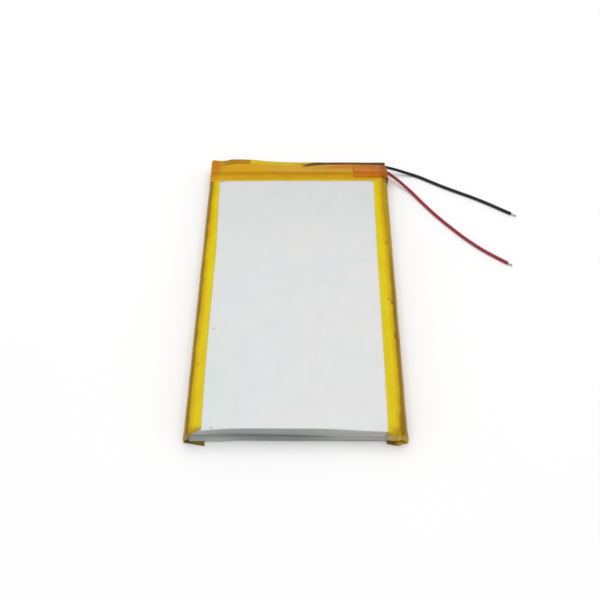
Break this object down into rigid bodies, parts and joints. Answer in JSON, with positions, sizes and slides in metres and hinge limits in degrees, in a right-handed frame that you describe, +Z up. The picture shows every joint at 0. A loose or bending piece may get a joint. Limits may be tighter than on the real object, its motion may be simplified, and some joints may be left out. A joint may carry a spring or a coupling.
{
  "type": "pouch battery cell",
  "caption": "Flat lithium-polymer pouch cell with taped edges, a protection board under tape at the terminal end, and a black and a red lead.",
  "frame": {"origin": "middle of the cell's underside, on the surface that it lies on, measured without the free leads", "axes": "+X across the width, to the right as seen from the plain end; +Y along the length, to the terminal end; +Z up through the thickness"},
  "size_m": [0.1024, 0.1058, 0.0064],
  "materials": {
    "pouch_laminate": "satin light grey nylon-faced laminate",
    "cathode_coating": "matt black coating on foil",
    "anode_coating": "matt dark graphite coating on foil",
    "separator_film": "soft white film",
    "winding_tape": "green film",
    "aluminium_tab": "rolled strip",
    "nickel": "rolled nickel strip",
    "seal_film": "black heat-seal film",
    "foam": "closed-cell foam",
    "insulating_paper": "pressed insulating paper",
    "circuit_board": "green solder mask",
    "chip_plastic": "moulded black epoxy",
    "chip_resistor": "black glazed ceramic",
    "chip_capacitor": "brown ceramic",
    "solder": "bright solder",
    "yellow_tape": "glossy yellow polyimide film",
    "amber_tape": "glossy amber polyimide film",
    "orange_tape": "glossy polyimide film over another layer",
    "black_insulation": "smooth flexible insulation",
    "red_insulation": "smooth flexible insulation",
    "tinned_wire": "tinned stranded copper"
  },
  "bodies": {
    "root": {"pouch_cup": "pouch_laminate", "pouch_cover": "pouch_laminate", "cathode_sheet": "cathode_coating", "anode_sheet": "anode_coating", "separator_inner": "separator_film", "separator_outer": "separator_film", "winding_tape": "winding_tape", "positive_tab": "aluminium_tab", "negative_tab": "nickel", "positive_tab_seal": "seal_film", "negative_tab_seal": "seal_film", "foam_pad": "foam", "insulating_paper": "insulating_paper", "protection_board": "circuit_board", "positive_plate": "nickel", "negative_plate": "nickel", "protection_ic": "chip_plastic", "mosfet_left": "chip_plastic", "mosfet_right": "chip_plastic", "resistor_left": "chip_resistor", "resistor_right": "chip_resistor", "capacitor": "chip_capacitor", "black_solder_joint": "solder", "red_solder_joint": "solder", "left_edge_tape": "yellow_tape", "right_edge_tape": "yellow_tape", "terminal_tape": "amber_tape", "exit_tape": "orange_tape", "black_lead": "black_insulation", "red_lead": "red_insulation", "black_lead_tip": "tinned_wire", "red_lead_tip": "tinned_wire"}
  },
  "joints": []
}
